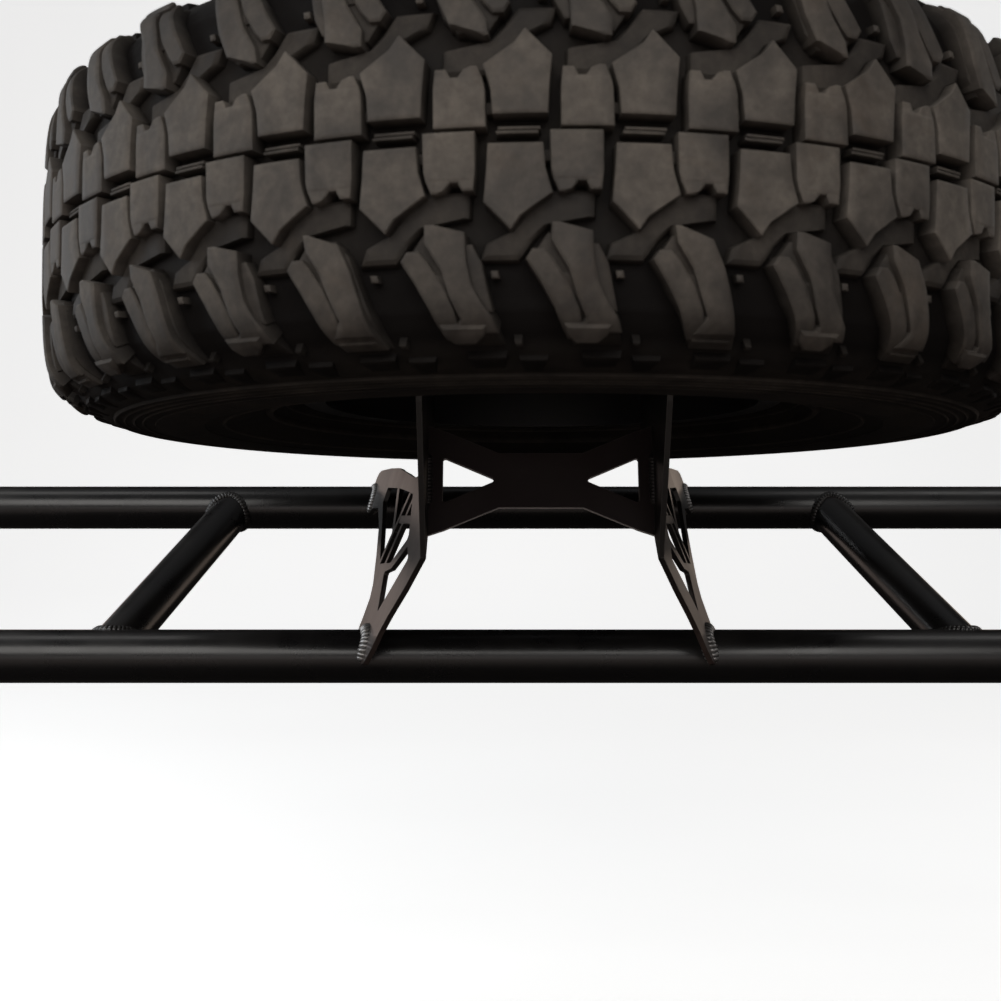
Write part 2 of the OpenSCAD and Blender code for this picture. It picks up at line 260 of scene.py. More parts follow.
def weld_material(name, stops, stain, metallic, coat):
    """Weld metal coloured by ripple height: dark valleys and flanks as painted shade, light crests
    as painted glints. stops are (height, colour) pairs.
    """
    shader = Shader(name)
    fine = shader.noise(scale=300)
    broad = shader.noise(scale=40, detail=3)
    ramp = shader.node("ValToRGB")
    elements = ramp.color_ramp.elements
    while len(elements) < len(stops):
        elements.new(0.5)
    for element, (position, colour) in zip(elements, stops):
        element.position = position
        element.color = (*colour, 1)
    # the ripple value paints valleys dark as shade and crests light as glints
    shader.feed(ramp.inputs[0], shader.attribute("ripple"))
    stained = shader.remap(broad, source=(0.45, 0.65), target=(0.0, 0.55))
    return shader.finish({
        "Base Color": shader.mix(stained, ramp.outputs[0], stain),
        "Metallic": metallic,
        "Roughness": shader.remap(fine, source=(0.3, 0.7), target=(0.24, 0.5)),
        "Coat Weight": coat,
        "Coat Roughness": 0.2,
        "Normal": shader.bump(fine, strength=0.25, distance=0.0005)})


def zinc_material():
    shader = Shader("zinc_plate")
    fine = shader.noise(scale=240)
    broad = shader.noise(scale=30, detail=3)
    dulled = shader.remap(broad, source=(0.4, 0.62), target=(0.0, 0.7))
    return shader.finish({
        "Base Color": shader.mix(dulled, (0.58, 0.58, 0.57), (0.36, 0.35, 0.33)),
        "Metallic": 0.95,
        "Roughness": shader.remap(fine, source=(0.3, 0.7), target=(0.24, 0.42)),
        "Normal": shader.bump(fine, strength=0.12, distance=0.0003,
                              normal=shader.rounded_normal(radius=0.0006))})


def rubber_material(name, recess, face, dusty, amount=1.0, scale=1.0):
    """Rubber that goes from recess to face colour as its per-vertex value rises, and gathers dust
    where that value is high. Low values are painted shade in grooves and at wall feet; high values
    are worn, dusty faces.
    """
    shader = Shader(name)
    wear_and_shade = shader.attribute("wear_and_shade")
    broad = shader.noise(scale=26 * scale, detail=6, roughness=0.62, distortion=0.3)
    medium = shader.noise(scale=160 * scale, roughness=0.6)
    fine = shader.noise(scale=1400, detail=2)
    patches = shader.maths("MULTIPLY",
                           shader.remap(broad, source=(0.36, 0.66), target=(0.15, 1.0)),
                           shader.remap(medium, source=(0.3, 0.7), target=(0.55, 1.0)))
    dust = shader.maths("MULTIPLY", shader.maths("MULTIPLY", wear_and_shade, patches), amount, clamp=True)
    # dark recess colour where the value is low: painted shade in the grooves
    colour = shader.mix(dust, shader.mix(wear_and_shade, recess, face), dusty)
    mud = shader.noise(scale=14 * scale, detail=5, roughness=0.7, distortion=0.8)
    mud = shader.remap(mud, source=(0.55, 0.72), target=(0.0, 0.5))
    colour = shader.mix(shader.maths("MULTIPLY", mud, wear_and_shade), colour, (0.075, 0.055, 0.04))
    height = shader.maths("ADD", shader.maths("MULTIPLY", medium, 0.7),
                          shader.maths("MULTIPLY", fine, 0.3))
    return shader.finish({
        "Base Color": colour,
        "Roughness": shader.remap(broad, source=(0.3, 0.7), target=(0.62, 0.85)),
        "Specular IOR Level": shader.remap(wear_and_shade, source=(0.0, 0.8), target=(0.12, 0.42)),
        "Normal": shader.bump(height, strength=0.35, distance=0.0009)})


def plastic_material():
    shader = Shader("cap_moulded")
    fine = shader.noise(scale=700, detail=3)
    faded = shader.remap(shader.noise(scale=25), source=(0.4, 0.7), target=(0, 0.6))
    return shader.finish({
        "Base Color": shader.mix(faded, (0.018, 0.018, 0.019), (0.05, 0.047, 0.044)),
        "Roughness": shader.remap(fine, source=(0.3, 0.7), target=(0.4, 0.6)),
        "Normal": shader.bump(fine, strength=0.15, distance=0.0003,
                              normal=shader.rounded_normal(radius=0.0008))})


def floor_material():
    """Seen directly it is a pale sweep; what it throws back at the part stays low."""
    shader = Shader("studio_floor")
    mottle = shader.remap(shader.noise(scale=1.2, detail=3), source=(0.3, 0.7))
    shader.finish({
        "Base Color": shader.mix(mottle, (0.78, 0.78, 0.777), (0.82, 0.82, 0.818)),
        "Roughness": 0.8,
        "Specular IOR Level": 0.1})
    glow = shader.node("Emission")
    glow.inputs["Color"].default_value = (0.70, 0.70, 0.698, 1)
    glow.inputs["Strength"].default_value = 1.0
    seen = shader.node("AddShader")
    shader.feed(seen.inputs[0], shader.surface.outputs[0])
    shader.feed(seen.inputs[1], glow.outputs[0])
    # indirect rays meet a dark floor under the part and a paler one towards the camera
    reflected = shader.node("BsdfDiffuse")
    towards_camera = shader.remap(shader.axis(shader.coords, 1), source=(-0.35, -1.0))
    shader.feed(reflected.inputs[0],
                shader.mix(towards_camera, (0.045, 0.040, 0.038), (0.42, 0.36, 0.33)))
    choice = shader.node("MixShader")
    shader.feed(choice.inputs[0], shader.node("LightPath").outputs["Is Camera Ray"])
    shader.feed(choice.inputs[1], reflected.outputs[0])
    shader.feed(choice.inputs[2], seen.outputs[0])
    shader.feed(shader.output.inputs[0], choice.outputs[0])
    return shader.material


PLATE_COAT = dict(dusty=(0.10, 0.085, 0.075), roughness=0.42, edge_wear_and_highlight=0.5, dust_amount=0.4)
POWDER = powder_material("powder_black", base=(0.0075, 0.0070, 0.0072), dusty=(0.05, 0.045, 0.04),
                         roughness=0.27, edge_wear_and_highlight=0.25, dust_amount=0.3)
PLATE = powder_material("powder_plate", base=(0.0095, 0.0088, 0.0082), **PLATE_COAT,
                        # side plates painted lighter and warmer towards their feet, as light
                        # falling there
                        painted_foot_light=dict(span=(0.015, 0.105), colour=(0.060, 0.040, 0.034)))
# the cross plate has a lighter, warmer base than the side plates: painted light on the same black
# coat
CROSS = powder_material("powder_cross_painted_lit", base=(0.021, 0.0130, 0.0132), **PLATE_COAT,
                        # the cross plate's downward edge faces are painted near-white as a
                        # reflection highlight
                        painted_edge_line=dict(facing=tuple(-CROSS_UP), colour=(0.92, 0.88, 0.86)))
RIM = powder_material("rim_black", base=(0.010, 0.010, 0.0105), dusty=(0.06, 0.055, 0.05),
                      roughness=0.34, edge_wear_and_highlight=0.25, dust_amount=0.3)
WELD = weld_material(
    "weld_bead_bright",
    stops=[(0.0, (0.03, 0.028, 0.026)), (0.45, (0.16, 0.155, 0.15)), (1.0, (0.55, 0.54, 0.53))],
    stain=(0.1, 0.085, 0.07), metallic=0.7, coat=0.0)
WELD_DARK = weld_material(
    "weld_bead_coated",
    stops=[(0.0, (0.006, 0.0055, 0.0055)), (0.6, (0.014, 0.013, 0.013)),
           (1.0, (0.035, 0.033, 0.032))],
    stain=(0.02, 0.018, 0.016), metallic=0.1, coat=0.4)
ZINC = zinc_material()
RUBBER = rubber_material("tyre_rubber", recess=(0.0056, 0.0046, 0.0043),
                         face=(0.040, 0.035, 0.031), dusty=(0.160, 0.140, 0.119))
VALVE = rubber_material("valve_rubber", recess=(0.018, 0.017, 0.016), face=(0.03, 0.03, 0.03),
                        dusty=(0.09, 0.085, 0.08), amount=0.5, scale=3)
PLASTIC = plastic_material()
FLOOR = floor_material()

SLOT_MATERIAL = {"powder": POWDER, "weld_bead": WELD, "zinc": ZINC, "rim_paint": RIM,
                 "cap_plastic": PLASTIC, "valve_rubber": VALVE, "tyre_rubber": RUBBER}
NODE_MATERIAL = {"side_plate_left": PLATE, "side_plate_right": PLATE, "hub_plate": PLATE,
                 "cross_plate": CROSS}


def dress_cad_nodes():
    slots = {part["node"]: part["material_slot"] for part in frame["record"]["subparts"]}
    for name, thing in frame["nodes"].items():
        thing.data.materials.clear()
        thing.data.materials.append(NODE_MATERIAL.get(name, SLOT_MATERIAL[slots[name]]))
        for polygon in thing.data.polygons:
            polygon.material_index = 0


dress_cad_nodes()

# ------------------------------------------------------------------ weld beads
BEAD_SIDES = 14
STEPS_PER_RIPPLE = 8
BEAD_RISE, BEAD_SPREAD = 0.92, 1.12            # section radius out of the corner and across it


def unit_rows(rows):
    return rows / np.linalg.norm(rows, axis=1)[:, None]


def bead(path, outward, radius, period, seed, closed=False):
    """Vertices, faces and ripple values of a rippled bead along a path.
    outward points out of the corner at each path point."""
    path, outward = np.array(path, float), np.array(outward, float)
    random = np.random.default_rng(seed)
    walked = np.concatenate([[0], np.cumsum(np.linalg.norm(np.diff(path, axis=0), axis=1))])
    length = walked[-1]
    rings = max(8, int(length / (period / STEPS_PER_RIPPLE)))
    along = np.linspace(0, length, rings)
    centres = np.stack([np.interp(along, walked, path[:, i]) for i in range(3)], 1)
    out = unit_rows(np.stack([np.interp(along, walked, outward[:, i]) for i in range(3)], 1))
    tangent = unit_rows(np.gradient(centres, axis=0))
    out = unit_rows(out - tangent * (tangent * out).sum(1)[:, None])
    across = np.cross(tangent, out)

    def wander(steps):
        """Random values at whole steps, joined by straight lines."""
        count = int(steps[-1]) + 3
        return np.interp(steps, np.arange(count), random.normal(size=count))

    ripples = along / period
    ripple_size = 1 + 0.12 * wander(ripples)
    ripple = np.sin(np.pi * (ripples - np.floor(ripples))) ** 0.7
    width = 1 + 0.05 * wander(ripples / 2.5)
    verts, values = [], []
    for i in range(rings):
        taper = 1.0
        if not closed:
            from_end = min(along[i], length - along[i]) / (1.6 * radius)
            taper = math.sqrt(max(0.02, 1 - max(0, 1 - from_end) ** 2))
        ring_radius = radius * width[i] * taper * (0.80 + 0.22 * ripple[i] * ripple_size[i])
        for j in range(BEAD_SIDES):
            angle = 2 * math.pi * j / BEAD_SIDES
            lag = 0.25 * period * math.cos(angle) ** 2
            verts.append(centres[i] + out[i] * (ring_radius * math.cos(angle) * BEAD_RISE)
                         + across[i] * (ring_radius * math.sin(angle) * BEAD_SPREAD)
                         + tangent[i] * lag)
            # higher on crests and on the side facing out of the corner: the weld colour follows it,
            # painting valleys dark as shade and crests light as glints
            values.append(float(ripple[i]) * (0.6 + 0.4 * max(0, math.cos(angle))))
    faces = []
    for i in range(rings if closed else rings - 1):
        here, ahead = i * BEAD_SIDES, (i + 1) % rings * BEAD_SIDES
        for j in range(BEAD_SIDES):
            j2 = (j + 1) % BEAD_SIDES
            faces.append((here + j, here + j2, ahead + j2, ahead + j))
    if not closed:
        faces.append(tuple(range(BEAD_SIDES)))
        faces.append(tuple(reversed(range((rings - 1) * BEAD_SIDES, rings * BEAD_SIDES))))
    return verts, faces, values


def join_beads(name, beads, node, material):
    verts, faces, values = [], [], []
    for bead_verts, bead_faces, bead_values in beads:
        offset = len(verts)
        verts += bead_verts
        faces += [tuple(i + offset for i in face) for face in bead_faces]
        values += bead_values
    add_mesh(name, np.array(verts) * MILLI, faces, material, "carrier",
             values=("ripple", values), replaces=node)


def brace_ring(side, lower):
    """The closed line where a brace meets a crossbar, with its outward directions."""
    foot = np.array([side * BRACE_LOWER_X, 0, 0])
    head = np.array([side * BRACE_UPPER_X, UPPER_BAR[1], UPPER_BAR[2]])
    axis = (head - foot) / np.linalg.norm(head - foot)
    first = np.cross(axis, [0, 0, 1.0])
    first /= np.linalg.norm(first)
    second = np.cross(axis, first)
    bar = LOWER_BAR if lower else UPPER_BAR
    points, outward = [], []
    for i in range(181):
        angle = 2 * math.pi * i / 180
        brace_normal = first * math.cos(angle) + second * math.sin(angle)
        # run a line of the brace's wall into the bar: a quadratic in the distance along it
        start = foot + brace_normal * BRACE_RADIUS - bar
        square = axis[1] ** 2 + axis[2] ** 2
        linear = 2 * (start[1] * axis[1] + start[2] * axis[2])
        constant = start[1] ** 2 + start[2] ** 2 - BAR_RADIUS ** 2
        root = math.sqrt(max(0, linear * linear - 4 * square * constant))
        distance = (-linear + (root if lower else -root)) / (2 * square)
        point = start + axis * distance
        points.append(point + bar)
        outward.append(brace_normal + np.array([0, point[1], point[2]]) / BAR_RADIUS)
    return points, outward


def inside(outline, x, y):
    """Even-odd test of a point against a closed outline."""
    result = False
    x0, y0 = outline[-1]
    for x1, y1 in outline:
        if (y1 > y) != (y0 > y) and x < (x0 - x1) * (y - y1) / (y0 - y1) + x1:
            result = not result
        x0, y0 = x1, y1
    return result


def plate_arcs(side, bar, face):
    """Runs where a side plate meets a crossbar, with outward directions.
    face is 1 on the plate's outer face and -1 on its inner one."""
    clearance = 2                              # the plate must still be there this far off the bar
    runs, run = [], []
    for i in range(721):
        angle = math.radians(i * 0.5 + 250)
        bar_normal = np.array([0, math.cos(angle), math.sin(angle)])
        point = bar + BAR_RADIUS * bar_normal
        point[0] = FOLD[0] + (face * PLATE_THICKNESS / 2 - PANEL_NORMAL[1] * (point[1] - FOLD[1])
                              - PANEL_NORMAL[2] * (point[2] - FOLD[2])) / PANEL_NORMAL[0]
        probe = bar + (BAR_RADIUS + clearance) * bar_normal
        probe[0] = point[0]
        probe -= FOLD
        if inside(PANEL, probe @ ALONG_FOLD, probe @ OFF_FOLD):
            run.append((point, bar_normal + PANEL_NORMAL * face))
        elif run:
            runs.append(run)
            run = []
    runs.append(run)
    mirror = np.array([side, 1, 1])
    return [[np.array(column) * mirror for column in zip(*run)] for run in runs if len(run) > 12]


def bar_beads(bar, radii, period, seed):
    """Beads round a crossbar at both side plates. radii gives the bead radius for each face."""
    beads = []
    for side in BOTH:
        for face in BOTH:
            for points, outward in plate_arcs(side, bar, face):
                beads.append(bead(points, outward, radii[face], period, seed + len(beads)))
    return beads


def cross_corner(side, face):
    """Ends and outward direction of a seam between the cross plate and an upright."""
    middle = CROSS_CENTRE + np.array([side * (UPRIGHT_X - PLATE_THICKNESS / 2), 0, 0])
    middle = middle + CROSS_NORMAL * face * PLATE_THICKNESS / 2
    reach = CROSS_UP * CROSS_HALF_SEAM
    return middle - reach, middle + reach, np.array([-side, 0, 0]) + CROSS_NORMAL * face


def hub_corner(side, face):
    """Ends and outward direction of a seam under the hub plate."""
    x = side * (UPRIGHT_X + face * PLATE_THICKNESS / 2)
    start, end = (TYRE_CENTRE + np.array([x, y, HUB_BOTTOM])
                  for y in (-HUB_HALF_SEAM, HUB_HALF_SEAM))
    return start, end, np.array([side * face, 0, -1.0])


def seam_beads(corner, points, period, seed):
    """Four straight beads, one on each face of each upright or cross plate end."""
    beads = []
    for side in BOTH:
        for face in BOTH:
            start, end, outward = corner(side, face)
            beads.append(bead(np.linspace(start, end, points), [outward] * points, radius=3.9,
                              period=period, seed=seed + side * 3 + face))
    return beads


for level, ring_seed in (("lower", 36), ("upper", 31)):
    rings = [bead(*brace_ring(side, level == "lower"), radius=4.6, period=3.6,
                  seed=ring_seed + side, closed=True) for side in BOTH]
    join_beads(f"bead_brace_{level}", rings, f"brace_welds_{level}", WELD_DARK)
join_beads("bead_foot", bar_beads(LOWER_BAR, radii={1: 6.0, -1: 4.2}, period=3.9, seed=50),
           "foot_welds", WELD)
join_beads("bead_saddle", bar_beads(UPPER_BAR, radii={1: 4.2, -1: 4.2}, period=3.4, seed=70),
           "saddle_welds", WELD)
join_beads("bead_cross", seam_beads(cross_corner, points=30, period=3.1, seed=90),
           "cross_welds", WELD_DARK)
join_beads("bead_hub", seam_beads(hub_corner, points=40, period=3.3, seed=120),
           "hub_welds", WELD_DARK)

# ------------------------------------------------------------------ tyre surface
# "arc" is the distance over the outer surface from the tread centre, negative in the lower half.
PITCHES = 37
PITCH_ANGLE = 2 * math.pi / PITCHES
PHASE = math.radians(-90 + 1.2)
# Outer envelope from the tread centre to the bead: radius, height
ENVELOPE = [
    (TYRE_RADIUS - 0.2, 0), (TYRE_RADIUS - 0.3, 30), (TYRE_RADIUS - 1.0, 58),
    (TYRE_RADIUS - 2.6, 82), (TYRE_RADIUS - 6.5, 99), (391, 109.5), (379, 116.5), (364, 121.2),
    (346, 124.6), (326, 126.4), (304, 126.8), (282, 125.2), (260, 120.6), (240, 114), (224, 106),
    (215, 99.5), (209.4, 93.2), (203.2, 88.8), (194.3, 88.7)]
# Inner liner from the upper bead to the middle: radius, height
LINER = [(190.8, 84.5), (190.8, 72), (204, 72), (222, 94), (250, 111), (300, 117.5),
         (346, 113.5), (370, 102), (382, 77), (385, 50), (386, 0)]
# Ribs round the sidewall: radius, height, half width
RIBS = [(352, 1.8, 1.4), (345, 1.1, 0.9), (338, 1.1, 0.9), (331, 1.1, 0.9), (268, 1.3, 2.0),
        (232, 4.2, 3.2), (219, 1.0, 1.1)]
# Curves over the arc: stations, then values
GROOVE_DEPTH = ([0, 60, 92, 108, 124, 134, 146], [13.0, 13.5, 14.0, 12.5, 8.0, 3.0, 0.0])
# groove floor value: it drops to nothing from arc 70 to 122, painting the lower groove floor dark
# as shade
GROOVE_WEAR_AND_SHADE = ([0, 58, 70, 122, 146], [0.10, 0.10, 0.0, 0.0, 0.14])
# Road dust sits on the crown and thins out towards the foot of the shoulder blocks, painting those
# blocks darker as shade where the shoulder turns down
CROWN_DUST_AND_SHADE = ([0, 45, 60, 90, 112, 130], [1.0, 1.0, 1.0, 0.78, 0.5, 0.3])


def resample(points, step):
    """A smooth curve through the points: even distances along it, and the points there."""
    points = np.array(points, float)
    last = len(points) - 1
    curve = []
    for i in range(last):
        p0, p1, p2, p3 = points[max(i - 1, 0)], points[i], points[i + 1], points[min(i + 2, last)]
        for t in np.linspace(0, 1, 24, endpoint=False):
            curve.append(0.5 * ((2 * p1) + (-p0 + p2) * t + (2 * p0 - 5 * p1 + 4 * p2 - p3) * t * t
                                + (-p0 + 3 * p1 - 3 * p2 + p3) * t ** 3))
    curve.append(points[-1])
    curve = np.array(curve)
    walked = np.concatenate([[0], np.cumsum(np.linalg.norm(np.diff(curve, axis=0), axis=1))])
    even = np.linspace(0, walked[-1], int(walked[-1] / step) + 1)
    return even, np.stack([np.interp(even, walked, curve[:, i]) for i in range(2)], 1)


ARCS, OUTER = resample(ENVELOPE, step=1.0)
OUTER_TANGENT = unit_rows(np.gradient(OUTER, axis=0))
# radius, height, and the same two parts of the outward normal
SURFACE = (OUTER[:, 0], OUTER[:, 1], OUTER_TANGENT[:, 1], -OUTER_TANGENT[:, 0])
LAST_ARC = ARCS[-1]

tyre_verts, tyre_faces, tyre_wear_and_shade = [], [], []


def curve_at(curve, arc):
    return float(np.interp(abs(arc), *curve))


def raised(arc, height):
    """Radius and unsigned height of a point raised off the envelope."""
    radius, level, normal_r, normal_z = (np.interp(abs(arc), ARCS, part) for part in SURFACE)
    return radius + normal_r * height, level + normal_z * height


def add_tyre_vert(cosine, sine, radius, z, wear_and_shade):
    tyre_verts.append((TYRE_CENTRE_M[0] + radius * MILLI * cosine,
                       TYRE_CENTRE_M[1] + radius * MILLI * sine,
                       TYRE_CENTRE_M[2] + z * MILLI))
    tyre_wear_and_shade.append(wear_and_shade)


# ------------------------------------------------------------------ tyre carcass
def carcass_section():
    """Closed section of groove floor, sidewalls and liner: radius, z, wear."""
    upper = [*np.arange(0, 150, 3.0), *np.arange(150, LAST_ARC, 0.9), LAST_ARC]
    section = []
    for arc in [-x for x in reversed(upper[1:])] + upper:
        radius = raised(arc, 0)[0]
        height = -curve_at(GROOVE_DEPTH, arc)
        wear_and_shade = curve_at(GROOVE_WEAR_AND_SHADE, arc)
        if abs(arc) > 130:
            for rib_radius, rib_height, half_width in RIBS:
                share = min(1, max(0, 1 - abs(radius - rib_radius) / half_width) * 1.8)
                height += rib_height * share
                wear_and_shade += 0.25 * share
            if 283 < radius < 322:             # raised flat band
                height += 0.9
                wear_and_shade += 0.05
        outer_radius, level = raised(arc, height)
        section.append((outer_radius, level * (-1 if arc < 0 else 1), min(1, wear_and_shade)))
    section += [(radius, z, 0.1) for radius, z in LINER]
    section += [(radius, -z, 0.1) for radius, z in reversed(LINER[:-1])]
    return section


def add_carcass(segments=432):
    section = carcass_section()
    count = len(section)
    for k in range(segments):
        angle = 2 * math.pi * k / segments
        for radius, z, wear_and_shade in section:
            add_tyre_vert(math.cos(angle), math.sin(angle), radius, z, wear_and_shade)
    for k in range(segments):
        here, ahead = k * count, (k + 1) % segments * count
        for i in range(count):
            i2 = (i + 1) % count
            tyre_faces.append((here + i, ahead + i, ahead + i2, here + i2))


# ------------------------------------------------------------------ tyre tread
# A block is its left edge, its right edge and its options. Edge points are (arc, round): arc
# across the tread, then distance round it. The options are those of add_block.
FINE = dict(spacing=3.5, draft=0.55, chamfer=0.75)
RIDGE = dict(wear_and_shade=0.78, spacing=3.2, draft=1.0, chamfer=1.2)
NUB = dict(spacing=5, columns=1, chamfer=0.8, draft=0.6)
CENTRE_BLOCKS = [
    # long block: a shield with its tip towards the shoulder
    ([(7.5, 18.0), (23, 17.2), (39.4, 15.7), (54.4, 30.4)],
     [(7.5, 48.4), (21.7, 49.6), (27.8, 51.4), (34.9, 53.6), (46.6, 36.6), (54.4, 31.0)], FINE),
    # short block beside it, then its two feet with a notch between them
    ([(0.7, 51.4), (22.2, 52.0), (28.8, 53.6)], [(0.7, 80.6), (22, 80.8), (28.8, 80.2)], FINE),
    ([(24, 53.2), (28.3, 53.7), (34.6, 56.4)],
     [(24, 68.0), (28.8, 67.0), (32.6, 64.2), (34.6, 59.0)], dict(top=-0.04, **FINE)),
    ([(24, 70.0), (29, 71.0), (33.4, 73.4)], [(24, 80.6), (33.4, 79.8)],
     dict(top=-0.04, **FINE)),
    # bar across the middle recess
    ([(0, 22), (2.2, 22.4)], [(0, 46), (2.2, 45.6)],
     dict(top=-3.6, wear_and_shade=0.7, spacing=3, columns=3, chamfer=0.5, draft=0.4)),
    # tie bar joining the long and short blocks
    ([(9, 44), (17, 44)], [(9, 58), (17, 58)],
     dict(top=-6.5, wear_and_shade=0.4, spacing=5, columns=2, chamfer=0.6)),
    # raised floor between these and the shoulder blocks, ending along a slanted lip
    ([(30, -34), (46.6, -34.5), (54, -41), (60, -54), (71, -58)],
     [(30, 9.5), (46, 9), (50.3, -16), (58, -24.5), (66, -30.0), (71, -34.5)],
     dict(top=-7.2, wear_and_shade=0.36, columns=8, draft=2.6, chamfer=1.8)),
]
# Shoulder ridge with a lower lobe beside it and a raised foot, on even pitches
EVEN_RIDGE = [
    ([(49.6, -17.0), (60, -17.2), (76, -7.6), (90, -3.4), (102, 2.0), (112, -4.0)],
     [(49.6, -14.0), (55, 6.4), (68.8, 7.0), (83, 9.8), (92.5, 14.8), (101, 20.5), (112, 24.2)],
     RIDGE),
    ([(60, 2.0), (71, 3.0), (86, 6.0), (100, 14.0)],
     [(60, 9.5), (71, 15.4), (86, 18.4), (100, 21.4)],
     dict(top=-4.2, wear_and_shade=0.6, columns=3, chamfer=0.9)),
    ([(104, -10.5), (112, -8.6), (119, -2.0)], [(104, 18), (112, 16), (119, 10)],
     dict(top=1.2, wear_and_shade=1.05, spacing=3, columns=3, chamfer=1.4)),
]
# Shoulder ridge with a foot in two steps, on odd pitches
ODD_RIDGE = [
    ([(50.3, -19.6), (60, -18.0), (73.5, -9.4), (89, -3.8), (100, 0.5), (112, -6.0)],
     [(50.3, -17.0), (57.8, 3.4), (72.7, 10.2), (88, 14.6), (105, 19.0), (112, 21.2)], RIDGE),
    ([(110, -9.0), (126, -3.8)], [(110, 21.0), (126, 25.2)],
     dict(top=-2.2, wear_and_shade=0.8, spacing=3, columns=4, chamfer=1.0)),
    ([(114, -6.0), (118.5, -5.0)], [(114, 19.5), (118.5, 20.5)],
     dict(top=-0.8, wear_and_shade=0.9, spacing=3, columns=3, chamfer=0.8)),
]
SHOULDER_BLOCKS = [
    # lobe on the left flank of the ridge, a little lower
    ([(63.4, -27.0), (69.4, -31.0), (82.8, -22.6), (96, -15.6), (109, -11.0), (118, -7.4)],
     [(63.4, -20.5), (69.4, -14.8), (82.8, -6.4), (96, -0.6), (109, 2.0), (118, 4.0)],
     dict(top=-1.5, wear_and_shade=0.72, spacing=3.2, columns=4, draft=1.0, chamfer=1.2)),
    # small link between lobe and ridge
    ([(76, -14), (92, -8)], [(76, -4), (92, 2)],
     dict(top=-3.4, wear_and_shade=0.45, columns=2, chamfer=0.6)),
    # lower body under both, so the valley between them has a floor
    ([(54, -18.5), (64, -25.5), (84, -21.5), (98, -14.5), (118, -7.0), (129, -3.0)],
     [(54, -1.0), (64, 8.0), (84, 15.0), (98, 19.5), (118, 24.0), (129, 27.5)],
     dict(top=-5.2, wear_and_shade=0.42, draft=1.4, chamfer=0.9)),
    # stone ejector nubs in the recess
    ([(74.6, 18.5), (79.6, 19.5)], [(74.6, 23.5), (79.6, 24.5)], dict(top=-7.0, wear_and_shade=0.8, **NUB)),
    ([(121, 31.0), (126, 32.0)], [(121, 36.0), (126, 37.0)], dict(top=-2.5, wear_and_shade=0.4, **NUB)),
    # side biter under every shoulder block, and a short one under every recess; their low values
    # paint them dark as shade
    ([(131, 2.0), (146, 4.0)], [(131, 27.0), (146, 25.0)],
     dict(top=0.3, wear_and_shade=0.16, spacing=5, columns=3, chamfer=0.7)),
    ([(134, 33.0), (152, 36.0)], [(134, 52.0), (152, 49.0)],
     dict(top=0.3, wear_and_shade=0.14, spacing=5, columns=2, chamfer=0.7)),
]


def block_stations(left, right, spacing):
    """Arcs of a block's rows: every edge point, and even steps between them."""
    start, end = left[0][0], left[-1][0]
    breaks = sorted({start, end, *(arc for arc, _ in left + right if start < arc < end)})
    stations = [start]
    for a, b in zip(breaks[:-1], breaks[1:]):
        steps = max(1, int(math.ceil((b - a) / spacing)))
        stations += [a + (b - a) * (i + 1) / steps for i in range(steps)]
    return stations


def add_block(pitch, side, left, right, top=0.0, wear_and_shade=1.0, draft=1.3, columns=5, spacing=4.0,
              chamfer=1.1):
    """A tread block with a chamfered top and drafted walls.
    side is -1 for the lower half. The upper half is the lower one turned half a turn."""
    start, end = left[0][0], left[-1][0]
    left_edge, right_edge = tuple(zip(*left)), tuple(zip(*right))
    stations = block_stations(left, right, spacing)
    rows = len(stations)

    def add_point(i, j, inset, height, shade):
        """Add the vertex at row i, column j. A height of None is just under the groove floor."""
        arc = min(max(stations[i], start + inset), end - inset)
        first = np.interp(arc, *left_edge) + inset
        last = np.interp(arc, *right_edge) - inset
        if last < first:
            first = last = (first + last) / 2
        around = first + (last - first) * j / columns
        angle = PHASE + pitch * PITCH_ANGLE - side * (around / TYRE_RADIUS)
        if height is None:
            height = -curve_at(GROOVE_DEPTH, arc) - 1.2
        radius, level = raised(arc, height)
        add_tyre_vert(math.cos(angle), math.sin(angle), radius, side * level,
                      shade * curve_at(CROWN_DUST_AND_SHADE, arc))
        return len(tyre_verts) - 1

    grid = [[add_point(i, j, draft + chamfer, top, wear_and_shade) for j in range(columns + 1)]
            for i in range(rows)]
    for i in range(rows - 1):
        for j in range(columns):
            tyre_faces.append((grid[i][j], grid[i][j + 1], grid[i + 1][j + 1], grid[i + 1][j]))
    border = ([(i, 0) for i in range(rows)] + [(rows - 1, j) for j in range(1, columns + 1)]
              + [(i, columns) for i in range(rows - 2, -1, -1)]
              + [(0, j) for j in range(columns - 1, 0, -1)])
    above = [grid[i][j] for i, j in border]
    # chamfer ring, then the foot of the wall, given the lowest value so it is painted dark as shade
    for inset, height, shade in ((draft * 0.75, top - chamfer * 0.8, wear_and_shade * 0.95),
                                 (0.0, None, 0.0)):
        below = [add_point(i, j, inset, height, shade) for i, j in border]
        for k in range(len(border)):
            k2 = (k + 1) % len(border)
            tyre_faces.append((above[k], below[k], below[k2], above[k2]))
        above = below


def add_tread():
    for pitch in range(PITCHES):
        ridge = EVEN_RIDGE if pitch % 2 == 0 else ODD_RIDGE
        for side in BOTH:
            for left, right, options in CENTRE_BLOCKS + ridge + SHOULDER_BLOCKS:
                add_block(-side * pitch, side, left, right, **options)


def build_tyre():
    add_carcass()
    add_tread()
    tyre = add_mesh("tyre_body", tyre_verts, tyre_faces, RUBBER, "spare_wheel",
                    values=("wear_and_shade", tyre_wear_and_shade), replaces="tyre")
    # one consistent outward side for every face
    work = bmesh.new()
    work.from_mesh(tyre.data)
    bmesh.ops.recalc_face_normals(work, faces=work.faces)
    work.to_mesh(tyre.data)
    work.free()
    tyre.data.set_sharp_from_angle(angle=math.radians(38))


